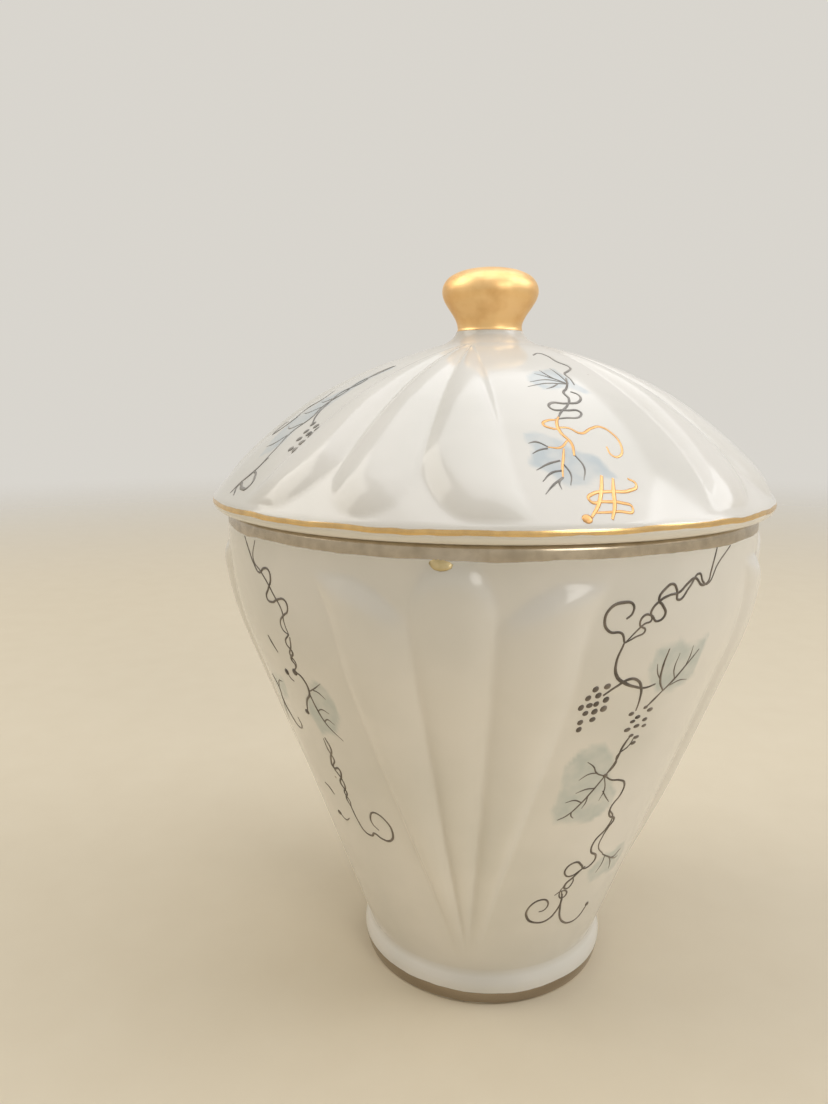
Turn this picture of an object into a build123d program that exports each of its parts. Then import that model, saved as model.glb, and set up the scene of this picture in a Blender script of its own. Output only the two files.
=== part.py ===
"""Fluted porcelain sugar bowl: a bowl, a lid that drops into it, and a knob luted on the lid.

Millimetres, +Z up. The origin is the centre of the foot, on the table. One group of lobes faces
the front, -Y. The lid is modelled in place, resting on the rim.
"""
from build123d import *
from math import acos, asin, atan2, cos, degrees, pi, radians, sin, sqrt, tan
import os

# ---- bowl -------------------------------------------------------------------------------------
RIM_HEIGHT = 88.0        # table to the flat top of the rim
RIM_RADIUS = 47.5        # outside of the rim
SHOULDER_DROP = 3.5      # rim top down to where the wall starts to curve in
SHOULDER_RADIUS = 55.0   # curve from the upright rim into the taper
WALL = 3.4               # wall, square to the surface
BASE_THICKNESS = 4.5     # floor of the bowl
FLOOR_RADIUS = 9.0       # soft corner between the inside wall and the floor
RIM_ROUND = 0.8          # rounding of both edges of the rim

# ---- foot -------------------------------------------------------------------------------------
FOOT_RADIUS = 23.0       # outside of the foot where it meets the table
FOOT_BULGE = 0.6         # how far the foot's band swells past that
FOOT_HEIGHT = 6.2        # table to the crease under the wall
CREASE_INSET = 0.5       # how far the crease is set in from the foot's edge
FOOT_WIDTH = 4.2         # width of the ring that stands on the table
FOOT_RECESS = 3.2        # depth of the hollow inside the ring
FOOT_ROUND = 0.8         # rounding of the foot's outer edge

# ---- lid --------------------------------------------------------------------------------------
LID_OVERHANG = 2.5       # how far the lid's edge stands out past the rim
EDGE_RISE = 1.7          # rim top up to the widest line of the edge
EDGE_BAND = 1.2          # height of the nearly upright edge above that line
EDGE_LEAN = 0.4          # how far that band leans in
EDGE_UNDERCUT = 0.7      # roundness of the underside of the edge
DOME_RADIUS = 80.0       # curve of the dome, in section
CROWN_HEIGHT = 28.2      # rim top up to the foot of the collar
CROWN_RADIUS = 10.0      # radius there
COLLAR_RISE = 2.8        # height of the collar, from the crown to the knob
COLLAR_RADIUS = 6.0      # top of the collar, under the knob
LID_WALL = 3.3           # wall of the dome
SEAT_SETBACK = 0.3       # outside of the rim in to where the lid stops touching it
FLANGE_DEPTH = 6.0       # how far the locating ring reaches down into the bowl
FLANGE_WIDTH = 3.0       # thickness of that ring
FLANGE_CLEARANCE = 1.0   # radial gap between the ring and the inside of the rim
FLANGE_ROUND = 1.0       # rounding of the ring's lower edges
LID_TURN = -15.5         # how far the lid is turned on the bowl, degrees

# ---- knob -------------------------------------------------------------------------------------
KNOB_RADIUS = 8.6        # widest part
KNOB_NECK = 5.7          # narrowest part
KNOB_HEIGHT = 11.0       # top of the collar to the top of the knob
KNOB_SETBACK = 0.1       # step from the collar in to the knob
TENON_RADIUS = 2.4       # stub under the knob
TENON_LENGTH = 2.2
TENON_CLEARANCE = 0.15   # room for the slip that sticks the knob on

# ---- lobes ------------------------------------------------------------------------------------
GROUPS = 4               # groups of three raised lobes round the bowl, and round the lid
BOWL_MID_WIDTH = 15.4    # angle taken by a middle lobe at its widest, degrees
BOWL_SIDE_WIDTH = 19.6   # angle taken by a lobe beside it
LID_MID_WIDTH = 17.2
LID_SIDE_WIDTH = 19.0
LOBE_RISE = 1.2          # highest point above the wall
MID_TOP_DROP = 3.0       # rim top down to the arch of a middle lobe
SIDE_TOP_DROP = 6.0      # rim top down to the arch of a side lobe
LOBE_START = 2.0         # foot crease up to where the lobes begin
LID_LOBE_START = 1.0     # foot of the collar out to where the lid's lobes begin
LID_LOBE_SLOPE = 0.014   # slope at which they rise out of the dome there
LOBE_SKIN = 0.05         # depth below the surface at which the lobes start
LOBE_FAN = 0.25          # share of a side lobe's angle that it already has at its foot
LOBE_BEND = 4.0          # end of the taper down to where the bowl's lobes start to curve with it
LOBE_OVERLAP = 0.03      # how much fatter a lobe's upper body is where the two meet
LID_LOBE_MARGIN = 1.6    # widest line of the lid's edge up to the ends of its lobes
SHELL_OVER = 3.0         # how far past the surface the shell that holds the lobes reaches
SHELL_GAP = 1.0          # angle left between two shells, degrees


# ---- geometry that several pieces share -------------------------------------------------------
LID_RADIUS = RIM_RADIUS + LID_OVERHANG
CREASE_RADIUS = FOOT_RADIUS - CREASE_INSET


def wall_tangent():
    """Where the straight taper meets the shoulder curve: (radius, height, angle from upright)."""
    cx, cz = RIM_RADIUS - SHOULDER_RADIUS, RIM_HEIGHT - SHOULDER_DROP
    dx, dz = CREASE_RADIUS - cx, FOOT_HEIGHT - cz
    turn = acos(SHOULDER_RADIUS / sqrt(dx * dx + dz * dz)) + atan2(dz, dx)
    return cx + SHOULDER_RADIUS * cos(turn), cz + SHOULDER_RADIUS * sin(turn), -turn


TAPER_R, TAPER_Z, TAPER = wall_tangent()
RIM_INSIDE = RIM_RADIUS - WALL
FLANGE_RADIUS = RIM_INSIDE - FLANGE_CLEARANCE
EDGE_Z = RIM_HEIGHT + EDGE_RISE
DOME_START = (LID_RADIUS - EDGE_LEAN, EDGE_Z + EDGE_BAND)
CROWN = (CROWN_RADIUS, RIM_HEIGHT + CROWN_HEIGHT)
KNOB_Z = CROWN[1] + COLLAR_RISE


def wall_radius(z):
    """Outside radius of the bowl above the foot."""
    if z <= TAPER_Z:
        return CREASE_RADIUS + (z - FOOT_HEIGHT) * (TAPER_R - CREASE_RADIUS) / (TAPER_Z - FOOT_HEIGHT)
    up = min(z, RIM_HEIGHT - SHOULDER_DROP) - (RIM_HEIGHT - SHOULDER_DROP)
    return RIM_RADIUS - SHOULDER_RADIUS + sqrt(SHOULDER_RADIUS**2 - up * up)


def dome_centre():
    """Centre of the dome's curve in section, below and across the axis from the curve."""
    (ax, az), (bx, bz) = DOME_START, CROWN
    half = sqrt((bx - ax) ** 2 + (bz - az) ** 2) / 2
    away = sqrt(DOME_RADIUS**2 - half * half)
    nx, nz = -(bz - az) / (2 * half), (bx - ax) / (2 * half)
    return (ax + bx) / 2 + nx * away, (az + bz) / 2 + nz * away


DOME_X, DOME_Z = dome_centre()


def dome_points(radius, out_r, in_r, count=7):
    """Points on the dome's section, or on a curve parallel to it, from out_r in to in_r."""
    first, last = acos((out_r - DOME_X) / radius), acos((in_r - DOME_X) / radius)
    angles = [first + (last - first) * n / (count - 1) for n in range(count)]
    return [(DOME_X + radius * cos(a), DOME_Z + radius * sin(a)) for a in angles]


def section(*edges, round_off=()):
    """Closed section, drawn as radius and height, with the named corners rounded."""
    face = make_face(Wire(list(edges)))
    for corner, radius in round_off:
        near = [v for v in face.vertices() if abs(v.X - corner[0]) + abs(v.Y - corner[1]) < 0.01]
        face = fillet(near, radius)
    return face


def slice_of(profile, gap=0.0):
    """One group's share of a turned piece, with the middle of the group facing the front."""
    share = 360 / GROUPS - gap
    return Rot(Z=-90 - share / 2) * revolve(Plane.XZ * profile, Axis.Z, share)


def lobed(profile, shell, lobes):
    """Add one group of lobes to its slice, then join one slice for each group.

    The lobes are round bodies, much thicker than the wall, so each is trimmed to a shell that
    runs from the middle of the wall to a little past the surface.
    """
    kept = slice_of(shell, SHELL_GAP)
    trimmed = [piece for lobe in lobes for piece in lobe.intersect(kept)]
    part = slice_of(profile).fuse(*trimmed)
    return part.fuse(*[Rot(Z=360 / GROUPS * n) * part for n in range(1, GROUPS)])


# ---- lobes ------------------------------------------------------------------------------------
def lobe_radius(width, curve, rise):
    """Radius of a body that stands this proud and this wide on a surface curved across."""
    return 1 / (8 * rise / width**2 + 1 / curve)


def round_body(start, end, start_ball, end_ball):
    """Two balls and the smooth cone round both. The first ball may be a point."""
    axis = end - start
    length = axis.length
    slope = asin((end_ball - start_ball) / length)
    first = (start_ball * cos(slope), -start_ball * sin(slope))
    last = (end_ball * cos(slope), length - end_ball * sin(slope))
    turn = pi / 4 - slope / 2
    tip = (0, length + end_ball)
    edges = [Line(first, last), ThreePointArc(last, (end_ball * cos(turn), length + end_ball * sin(turn)), tip)]
    if start_ball:
        turn = -pi / 4 - slope / 2
        mid = (start_ball * cos(turn), start_ball * sin(turn))
        edges.insert(0, ThreePointArc((0, -start_ball), mid, first))
    edges.append(Line(tip, (0, -start_ball)))
    return Plane(origin=start, z_dir=axis) * revolve(Plane.XZ * section(*edges), Axis.Z)


def bowl_lobe(angle, top_drop, width_angle):
    """Two bodies inside the wall: one up the taper from the foot, one on to the round end."""
    width = 2 * RIM_RADIUS * sin(radians(width_angle / 2))
    start_z = FOOT_HEIGHT + LOBE_START
    end_z = RIM_HEIGHT - top_drop - width / 2
    bend_z = min(TAPER_Z, end_z) - LOBE_BEND
    places = []
    for z in (bend_z, end_z):
        share = (z - start_z) / (end_z - start_z)
        ball = lobe_radius(width * share, wall_radius(z), LOBE_RISE * share)
        face = atan2(wall_radius(z) - wall_radius(z - 1), 1)
        deep = ball - LOBE_RISE * share
        r, turn = wall_radius(z) - deep * cos(face), radians(angle * (LOBE_FAN + (1 - LOBE_FAN) * share))
        places.append((Vector(r * sin(turn), -r * cos(turn), z + deep * sin(face)), ball))
    low_r, low_angle = wall_radius(start_z) - LOBE_SKIN, radians(angle * LOBE_FAN)
    start = Vector(low_r * sin(low_angle), -low_r * cos(low_angle), start_z)
    (bend, bend_ball), (end, end_ball) = places
    return [
        round_body(start, bend, 0, bend_ball),
        round_body(bend, end, bend_ball + LOBE_OVERLAP, end_ball),
    ]


def lid_lobe(angle, width_angle):
    """A round body that follows the dome, higher and wider towards the lid's edge."""
    width = 2 * LID_RADIUS * sin(radians(width_angle / 2))
    across = LID_RADIUS / cos(asin((EDGE_Z - DOME_Z) / DOME_RADIUS))
    ball = lobe_radius(width, across, LOBE_RISE)
    low = asin((EDGE_Z + LID_LOBE_MARGIN - DOME_Z) / DOME_RADIUS)
    low += width / 2 / DOME_RADIUS
    high = acos((CROWN_RADIUS + LID_LOBE_START - DOME_X) / DOME_RADIUS)
    run = (high - low) * DOME_RADIUS
    rise = LOBE_RISE + LOBE_SKIN
    bend = 1 / (1 / DOME_RADIUS - 2 * (rise - LID_LOBE_SLOPE * run) / run**2)
    top = high + LID_LOBE_SLOPE
    sweep = run / bend
    far = bend - ball
    cx = DOME_X + (DOME_RADIUS - LOBE_SKIN) * cos(high) - bend * cos(top)
    cz = DOME_Z + (DOME_RADIUS - LOBE_SKIN) * sin(high) - bend * sin(top)
    end = top - sweep
    # drawn to the right of the axis, then swung round to its place
    tip = Plane(
        origin=(cx + far * cos(end), 0, cz + far * sin(end)),
        x_dir=(cos(end), 0, sin(end)),
        z_dir=(sin(end), 0, -cos(end)),
    )
    tube = revolve(tip * Circle(ball), Axis((cx, 0, cz), (0, -1, 0)), degrees(sweep))
    nose = Sphere(ball, arc_size1=0, align=(Align.CENTER, Align.CENTER, Align.MIN))
    body = tube + tip * nose
    return Rot(Z=angle - 90) * body


def wall_line(offset, low_z, high_z):
    """Edges of the wall's section, moved square to the surface, from low_z up to high_z."""
    bend, shoulder_z = RIM_RADIUS - SHOULDER_RADIUS, RIM_HEIGHT - SHOULDER_DROP
    curve, turn = SHOULDER_RADIUS + offset, -TAPER / 2
    low = (wall_radius(low_z) + offset * cos(TAPER), low_z - offset * sin(TAPER))
    start = (bend + curve * cos(TAPER), shoulder_z - curve * sin(TAPER))
    mid = (bend + curve * cos(turn), shoulder_z + curve * sin(turn))
    end = (bend + curve, shoulder_z)
    return [Line(low, start), ThreePointArc(start, mid, end), Line(end, (bend + curve, high_z))]


def bowl_shell():
    """Section of the shell for the bowl's lobes."""
    ends = FOOT_HEIGHT + LOBE_START / 2, RIM_HEIGHT - 2 * RIM_ROUND
    inner, outer = wall_line(-WALL / 2, *ends), wall_line(SHELL_OVER, *ends)
    return section(*inner, Line(inner[-1] @ 1, outer[-1] @ 1), *outer, Line(outer[0] @ 0, inner[0] @ 0))


def lid_shell():
    """Section of the shell for the lid's lobes."""
    low = (EDGE_Z + LID_LOBE_MARGIN - DOME_Z) / DOME_RADIUS
    low_r = DOME_X + DOME_RADIUS * sqrt(1 - low * low)
    inner = dome_points(DOME_RADIUS - LID_WALL / 2, low_r - LID_WALL, CROWN_RADIUS)
    outer = dome_points(DOME_RADIUS + SHELL_OVER, low_r, CROWN_RADIUS)
    return make_face(Polyline(*inner, *reversed(outer), close=True))


# ---- pieces -----------------------------------------------------------------------------------
def make_bowl():
    """Tapering wall on a low round foot, with an upright flat-topped rim."""
    shoulder_z = RIM_HEIGHT - SHOULDER_DROP
    bend_r, turn = RIM_RADIUS - SHOULDER_RADIUS, -TAPER / 2
    outer_mid = (bend_r + SHOULDER_RADIUS * cos(turn), shoulder_z + SHOULDER_RADIUS * sin(turn))
    inner = SHOULDER_RADIUS - WALL
    inner_mid = (bend_r + inner * cos(turn), shoulder_z + inner * sin(turn))
    low = (TAPER_R - WALL * cos(TAPER), TAPER_Z + WALL * sin(TAPER))
    floor_z = FOOT_RECESS + BASE_THICKNESS
    floor = (low[0] - (low[1] - floor_z) * tan(TAPER), floor_z)
    ring_in = FOOT_RADIUS - FOOT_WIDTH
    recess = (ring_in - FOOT_RECESS * tan(TAPER), FOOT_RECESS)
    band_mid = (FOOT_RADIUS + FOOT_BULGE, FOOT_HEIGHT / 2)
    crease = (CREASE_RADIUS, FOOT_HEIGHT)
    taper_top = (TAPER_R, TAPER_Z)
    profile = section(
        Line((0, FOOT_RECESS), recess),
        Line(recess, (ring_in, 0)),
        Line((ring_in, 0), (FOOT_RADIUS, 0)),
        ThreePointArc((FOOT_RADIUS, 0), band_mid, crease),
        Line(crease, taper_top),
        ThreePointArc(taper_top, outer_mid, (RIM_RADIUS, shoulder_z)),
        Line((RIM_RADIUS, shoulder_z), (RIM_RADIUS, RIM_HEIGHT)),
        Line((RIM_RADIUS, RIM_HEIGHT), (RIM_INSIDE, RIM_HEIGHT)),
        Line((RIM_INSIDE, RIM_HEIGHT), (RIM_INSIDE, shoulder_z)),
        ThreePointArc((RIM_INSIDE, shoulder_z), inner_mid, low),
        Line(low, floor),
        Line(floor, (0, floor_z)),
        Line((0, floor_z), (0, FOOT_RECESS)),
        round_off=[
            ((FOOT_RADIUS, 0), FOOT_ROUND),
            (floor, FLOOR_RADIUS),
            ((RIM_RADIUS, RIM_HEIGHT), RIM_ROUND),
            ((RIM_INSIDE, RIM_HEIGHT), RIM_ROUND),
        ],
    )
    side_angle = (BOWL_MID_WIDTH + BOWL_SIDE_WIDTH) / 2
    lobes = bowl_lobe(0, MID_TOP_DROP, BOWL_MID_WIDTH)
    for angle in (-side_angle, side_angle):
        lobes += bowl_lobe(angle, SIDE_TOP_DROP, BOWL_SIDE_WIDTH)
    return lobed(profile, bowl_shell(), lobes)


def make_lid():
    """Low dome with a rounded gilt edge, a locating ring under it and a collar for the knob."""
    low_z = RIM_HEIGHT - FLANGE_DEPTH
    ring_in = FLANGE_RADIUS - FLANGE_WIDTH
    seat = (RIM_RADIUS - SEAT_SETBACK, RIM_HEIGHT)
    under_mid = (LID_RADIUS - EDGE_UNDERCUT, RIM_HEIGHT + EDGE_RISE / 3)
    edge = (LID_RADIUS, EDGE_Z)
    collar = (COLLAR_RADIUS, KNOB_Z)
    flare_mid = (
        COLLAR_RADIUS + (CROWN_RADIUS - COLLAR_RADIUS) * 0.28,
        CROWN[1] + COLLAR_RISE * 0.42,
    )
    socket_r = TENON_RADIUS + TENON_CLEARANCE
    socket_z = KNOB_Z - TENON_LENGTH - TENON_CLEARANCE
    over = dome_points(DOME_RADIUS, DOME_START[0], CROWN_RADIUS)
    under = dome_points(DOME_RADIUS - LID_WALL, ring_in, 0)
    profile = section(
        Line((0, socket_z), (socket_r, socket_z)),
        Line((socket_r, socket_z), (socket_r, KNOB_Z)),
        Line((socket_r, KNOB_Z), collar),
        ThreePointArc(collar, flare_mid, CROWN),
        Spline(*reversed(over)),
        Spline(over[0], edge, tangents=[(sin(radians(40)), -cos(radians(40))), (0, -1)]),
        ThreePointArc(edge, under_mid, seat),
        Line(seat, (FLANGE_RADIUS, RIM_HEIGHT)),
        Line((FLANGE_RADIUS, RIM_HEIGHT), (FLANGE_RADIUS, low_z)),
        Line((FLANGE_RADIUS, low_z), (ring_in, low_z)),
        Line((ring_in, low_z), under[0]),
        Spline(*under),
        Line(under[-1], (0, socket_z)),
        round_off=[((FLANGE_RADIUS, low_z), FLANGE_ROUND), ((ring_in, low_z), FLANGE_ROUND)],
    )
    side_angle = (LID_MID_WIDTH + LID_SIDE_WIDTH) / 2
    lobes = [lid_lobe(0, LID_MID_WIDTH)]
    lobes += [lid_lobe(a, LID_SIDE_WIDTH) for a in (-side_angle, side_angle)]
    return Rot(Z=LID_TURN) * lobed(profile, lid_shell(), lobes)


def make_knob():
    """Squat mushroom with a flattened top, on a short stub."""
    wide_z = KNOB_Z + KNOB_HEIGHT * 0.62
    top = KNOB_Z + KNOB_HEIGHT
    foot = (COLLAR_RADIUS - KNOB_SETBACK, KNOB_Z)
    outline = Spline(
        foot,
        (KNOB_NECK, KNOB_Z + KNOB_HEIGHT * 0.11),
        (KNOB_NECK + (KNOB_RADIUS - KNOB_NECK) * 0.58, KNOB_Z + KNOB_HEIGHT * 0.36),
        (KNOB_RADIUS, wide_z),
        (KNOB_RADIUS * 0.86, KNOB_Z + KNOB_HEIGHT * 0.84),
        (KNOB_RADIUS * 0.45, KNOB_Z + KNOB_HEIGHT * 0.97),
        (0, top),
        tangents=[(-0.5, 1), (-1, 0)],
    )
    low_z = KNOB_Z - TENON_LENGTH
    profile = section(
        Line((0, low_z), (TENON_RADIUS, low_z)),
        Line((TENON_RADIUS, low_z), (TENON_RADIUS, KNOB_Z)),
        Line((TENON_RADIUS, KNOB_Z), foot),
        outline,
        Line((0, top), (0, low_z)),
    )
    return revolve(Plane.XZ * profile, Axis.Z)


os.makedirs("parts", exist_ok=True)
for name, piece in {"bowl": make_bowl(), "lid": make_lid(), "lid_knob": make_knob()}.items():
    (solid,) = piece.solids()
    export_step(solid, f"parts/{name}.step")
    print(name, "volume", round(solid.volume), "mm3")
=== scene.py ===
# %% [markdown]
# # A lobed porcelain sugar bowl
#
# The bowl, its lid and the knob are three turned shapes, so most of this scene is a lathe: a
# section is drawn once and spun. What makes the piece its own is then added in the order a
# potter would: lobes raised on the wall, a clear glaze, a painted vine, and gilding last.

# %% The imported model
import math
import random

import bmesh
import bpy
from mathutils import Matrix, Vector, noise


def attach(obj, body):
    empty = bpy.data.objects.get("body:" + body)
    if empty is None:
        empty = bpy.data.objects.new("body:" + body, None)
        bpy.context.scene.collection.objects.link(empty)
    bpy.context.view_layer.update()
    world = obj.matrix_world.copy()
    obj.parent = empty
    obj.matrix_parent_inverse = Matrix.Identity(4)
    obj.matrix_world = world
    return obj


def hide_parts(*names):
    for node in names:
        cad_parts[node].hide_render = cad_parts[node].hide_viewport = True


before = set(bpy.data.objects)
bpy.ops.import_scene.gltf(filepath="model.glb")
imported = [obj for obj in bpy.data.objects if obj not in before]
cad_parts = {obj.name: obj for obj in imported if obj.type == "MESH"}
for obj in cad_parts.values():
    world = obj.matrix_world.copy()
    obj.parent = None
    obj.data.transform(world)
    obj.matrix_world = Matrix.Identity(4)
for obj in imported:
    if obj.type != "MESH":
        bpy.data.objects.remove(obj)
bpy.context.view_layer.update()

random.seed(11)
MM = 0.001

# %% [markdown]
# ## Drawing a section
#
# A section could be a Bezier curve, but a turned pot is mostly straight runs and arcs that meet
# at small rounded corners, and those are easier to say in numbers. `rounded` takes corners as
# (radius, height, rounding) in millimetres and returns the points of the line, with an arc in
# place of each corner that has a rounding.

# %% Rounded corners
def rounded(corners, steps=5):
    """Points of a line through these corners, each (radius, height, rounding), in mm."""
    line = []
    for n, (x, z, soft) in enumerate(corners):
        here = Vector((x, z))
        if not soft:
            line.append(here)
            continue
        back = (Vector(corners[n - 1][:2]) - here).normalized()
        on = (Vector(corners[n + 1][:2]) - here).normalized()
        half = back.angle(on) / 2
        centre = here + (back + on).normalized() * soft / math.sin(half)
        start = here + back * soft / math.tan(half) - centre
        end = here + on * soft / math.tan(half) - centre
        turn = start.angle_signed(end)
        for k in range(steps + 1):
            a = -turn * k / steps
            line.append(centre + Vector((start.x * math.cos(a) - start.y * math.sin(a),
                                         start.x * math.sin(a) + start.y * math.cos(a))))
    return line


def arc(centre, radius, first, last, count):
    """Corners along an arc, from one angle in radians to another."""
    angles = [first + (last - first) * n / (count - 1) for n in range(count)]
    return [(centre[0] + radius * math.cos(a), centre[1] + radius * math.sin(a), 0) for a in angles]


print("a corner of 90 degrees, rounded by 2 mm:", len(rounded([(0, 0, 0), (5, 0, 2), (5, 5, 0)])))

# %% [markdown]
# ## Spinning it
#
# `bmesh.ops.spin` is the lathe. The line starts and ends on the axis, so the turned shape closes
# by itself once the points that meet on the axis are merged. The normals are recalculated after
# that, because a spin can leave them facing in.

# %% The lathe
TURN_STEPS = 480      # about 0.6 mm apart on the rim, fine enough for the crease beside a lobe


def turned(name, line, shape=None, steps=TURN_STEPS):
    """Spin a line into a closed piece. `shape` moves each point of it, in mm."""
    bm = bmesh.new()
    points = [bm.verts.new((p.x * MM, 0, p.y * MM)) for p in line]
    edges = [bm.edges.new(pair) for pair in zip(points, points[1:])]
    bmesh.ops.spin(bm, geom=points + edges, cent=(0, 0, 0), axis=(0, 0, 1), dvec=(0, 0, 0),
                   angle=2 * math.pi, steps=steps, use_merge=True, use_duplicate=False)
    bmesh.ops.remove_doubles(bm, verts=bm.verts, dist=2e-6)
    bmesh.ops.recalc_face_normals(bm, faces=bm.faces)
    if shape:
        for v in bm.verts:
            v.co = shape(v.co / MM) * MM
    mesh = bpy.data.meshes.new(name)
    bm.to_mesh(mesh)
    bm.free()
    mesh.shade_smooth()
    piece = bpy.data.objects.new(name, mesh)
    bpy.context.scene.collection.objects.link(piece)
    print(name, len(mesh.vertices), "points", len(mesh.polygons), "faces")
    return piece


def soft_step(value, low, high):
    """0 below low, 1 above high, and a smooth ramp between them."""
    t = min(1, max(0, (value - low) / (high - low)))
    return t * t * (3 - 2 * t)


def between(value, table):
    """Straight lines through (value, result) pairs."""
    for (a, fa), (b, fb) in zip(table, table[1:]):
        if value <= b:
            return fa + (fb - fa) * max(0, value - a) / (b - a)
    return table[-1][1]


# %% [markdown]
# ## The bowl's wall
#
# The wall is slip-cast: a straight taper that stands up into a nearly upright rim. `wall(z)`
# gives its radius and which way it faces, and everything that lies on the wall later, lobes,
# paint and gilding, is placed through it.

# %% The wall and which way it faces
RIM_Z, RIM_R, WALL = 88.0, 47.5, 3.4
FOOT_R, FOOT_Z, CREASE_R = 23.0, 6.2, 22.5
SHOULDER_Z, SHOULDER_R = 84.5, 55.0
TAPER_R, TAPER_Z, TAPER = 44.17, 65.67, math.radians(20.03)


def wall(z):
    """Radius of the wall at a height, and its outward direction as (radius, height)."""
    if z < TAPER_Z:
        r = CREASE_R + (z - FOOT_Z) * (TAPER_R - CREASE_R) / (TAPER_Z - FOOT_Z)
        return r, Vector((math.cos(TAPER), -math.sin(TAPER)))
    up = min(z, SHOULDER_Z) - SHOULDER_Z
    across = math.sqrt(SHOULDER_R**2 - up * up)
    return RIM_R - SHOULDER_R + across, Vector((across, up)).normalized()


print("wall at mid height", [round(wall(44)[0], 2), round(wall(80)[0], 2)])

# %% [markdown]
# ## The bowl's lobes
#
# Four groups of three raised lobes stand on the wall, with a crease between neighbours. In each
# group a narrow middle lobe stands between two wide ones, all three grow from the foot, and each
# ends in an arch under the rim, the outer ones in a sharp corner. Joining them with booleans would
# leave long thin faces; here a formula gives the height at a spot and the points of the turned
# wall come out by that much.

# %% How far the wall stands out
GROUPS = 4
MID_RISE, SIDE_RISE, ARCH_RAMP = 1.3, 1.4, 4.0
SWELL = 2.2           # 2 is a parabola across a lobe, more has a flatter middle
SIDE_EDGE = [(6.5, 1.2), (17, 3.4), (29, 6.4), (42, 10.2), (54, 13.8), (64.5, 16.8), (72, 18.2),
             (77, 19.3), (80, 20.9), (82.5, 22.8), (90, 23)]


def arch(z, top, ramp=ARCH_RAMP):
    """1 on a lobe, falling off round its arch."""
    q = min(1, max(0, (top - z) / ramp))
    return 1 - (1 - q) ** 2


def swell(t):
    """Section across a lobe: 1 in its middle, 0 at its sides, which are t = -1 and 1."""
    return 1 - abs(t) ** SWELL


def bowl_rise(across, z):
    """Height of the lobes, in mm, this far from the middle of a group and at this height."""
    x = abs(across)
    ridge = 0.25 + 0.092 * max(0, z - 12)
    edge = between(z, SIDE_EDGE)
    grown = soft_step(z, FOOT_Z + 1, 40)
    if x < ridge:
        top = 76 + 10 * math.sqrt(max(0, 1 - (x / 6.4) ** 2))
        return MID_RISE * arch(z, top) * swell(x / ridge) * grown
    if x < edge:
        t = (x - ridge) / (edge - ridge)
        lean = min(1, (x - ridge) / max(0.1, 17 - ridge))
        top = 77 + 5.5 * math.sin(math.pi / 2 * lean)
        return SIDE_RISE * arch(z, top) * swell(2 * t - 1) * grown
    return 0.0


def from_middle(angle, turn=0.0):
    """Angle from the middle of the nearest group, for groups that start at `turn`."""
    share = 2 * math.pi / GROUPS
    return (angle - turn + share / 2) % share - share / 2


def raise_bowl(p):
    """Move a point of the turned bowl out if it is on the outside of the wall."""
    r, z = math.hypot(p.x, p.y), p.z
    if not FOOT_Z < z < SHOULDER_Z:
        return p
    skin, out = wall(z)
    if r < skin - 1:
        return p
    angle = math.atan2(p.x, -p.y)
    moved = out * bowl_rise(from_middle(angle) * r, z)
    r += moved.x
    return Vector((r * math.sin(angle), -r * math.cos(angle), z + moved.y))


print("lobe heights at mid height", round(bowl_rise(0, 50), 2), round(bowl_rise(7.5, 50), 2))

# %% [markdown]
# ## The bowl
#
# The section runs from the middle of the floor, up the inside, over the rim, down the outside,
# round the swelling foot and back to the axis under it. The outside wall gets a point every
# 0.7 mm, because the lobes need them, and the rest only a few.

# %% Turning the bowl
INNER_R = SHOULDER_R - WALL
FLOOR_Z = 7.7
RING_R, RECESS_R, RECESS_Z = 18.8, 17.63, 3.2
inner_low = (TAPER_R - WALL * math.cos(TAPER), TAPER_Z + WALL * math.sin(TAPER))
floor_r = inner_low[0] - (inner_low[1] - FLOOR_Z) * math.tan(TAPER)
inside = [(0, FLOOR_Z, 0), (floor_r, FLOOR_Z, 9)]
inside += [(floor_r + (z - FLOOR_Z) * math.tan(TAPER), z, 0) for z in range(18, 66, 5)]
inside += arc((RIM_R - SHOULDER_R, SHOULDER_Z), INNER_R, -TAPER, 0, 8)
rim = [(RIM_R - WALL, RIM_Z, 0.9), (RIM_R, RIM_Z, 0.9)]
outside = [(wall(z)[0], z, 0) for z in (84.5 - 0.7 * n for n in range(112))]
foot = [(CREASE_R, FOOT_Z, 0), (22.95, 5.3, 0), (23.35, 4.4, 0), (23.55, 3.4, 0), (23.5, 2.3, 0),
        (23.25, 1.2, 0), (FOOT_R - 0.1, 0, 0.7), (RING_R, 0, 0.5), (RECESS_R, RECESS_Z, 0.8),
        (0, RECESS_Z, 0)]
bowl = turned("fluted_bowl", rounded(inside + rim + outside + foot), raise_bowl)
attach(bowl, "bowl")
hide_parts("bowl")

# %% [markdown]
# ## The lid
#
# The lid is a shallow dome with a sweep up to the knob, a rolled edge that sits over the rim, and
# a ring underneath that drops into the bowl and keeps it from sliding. `dome(r)` is to the lid
# what `wall(z)` is to the bowl.

# %% The dome and its lobes
DOME_R, DOME_C = 80.0, Vector((-11.37, 39.11))
LID_TURN = math.radians(-15.5)
CROWN_R, COLLAR_Z = 10.0, 119.0
LID_RISE, LID_RAMP = 1.3, 4.5
LID_EDGE = [(9, 0.3), (10, 0.8), (21, 6.8), (31, 12.4), (40.5, 17.6), (45.7, 21.1), (49.6, 25.1)]


def dome(r):
    """Height of the dome at a radius, and its outward direction as (radius, height)."""
    up = math.sqrt(DOME_R**2 - (r - DOME_C.x) ** 2)
    return DOME_C.y + up, Vector((r - DOME_C.x, up)).normalized()


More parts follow.
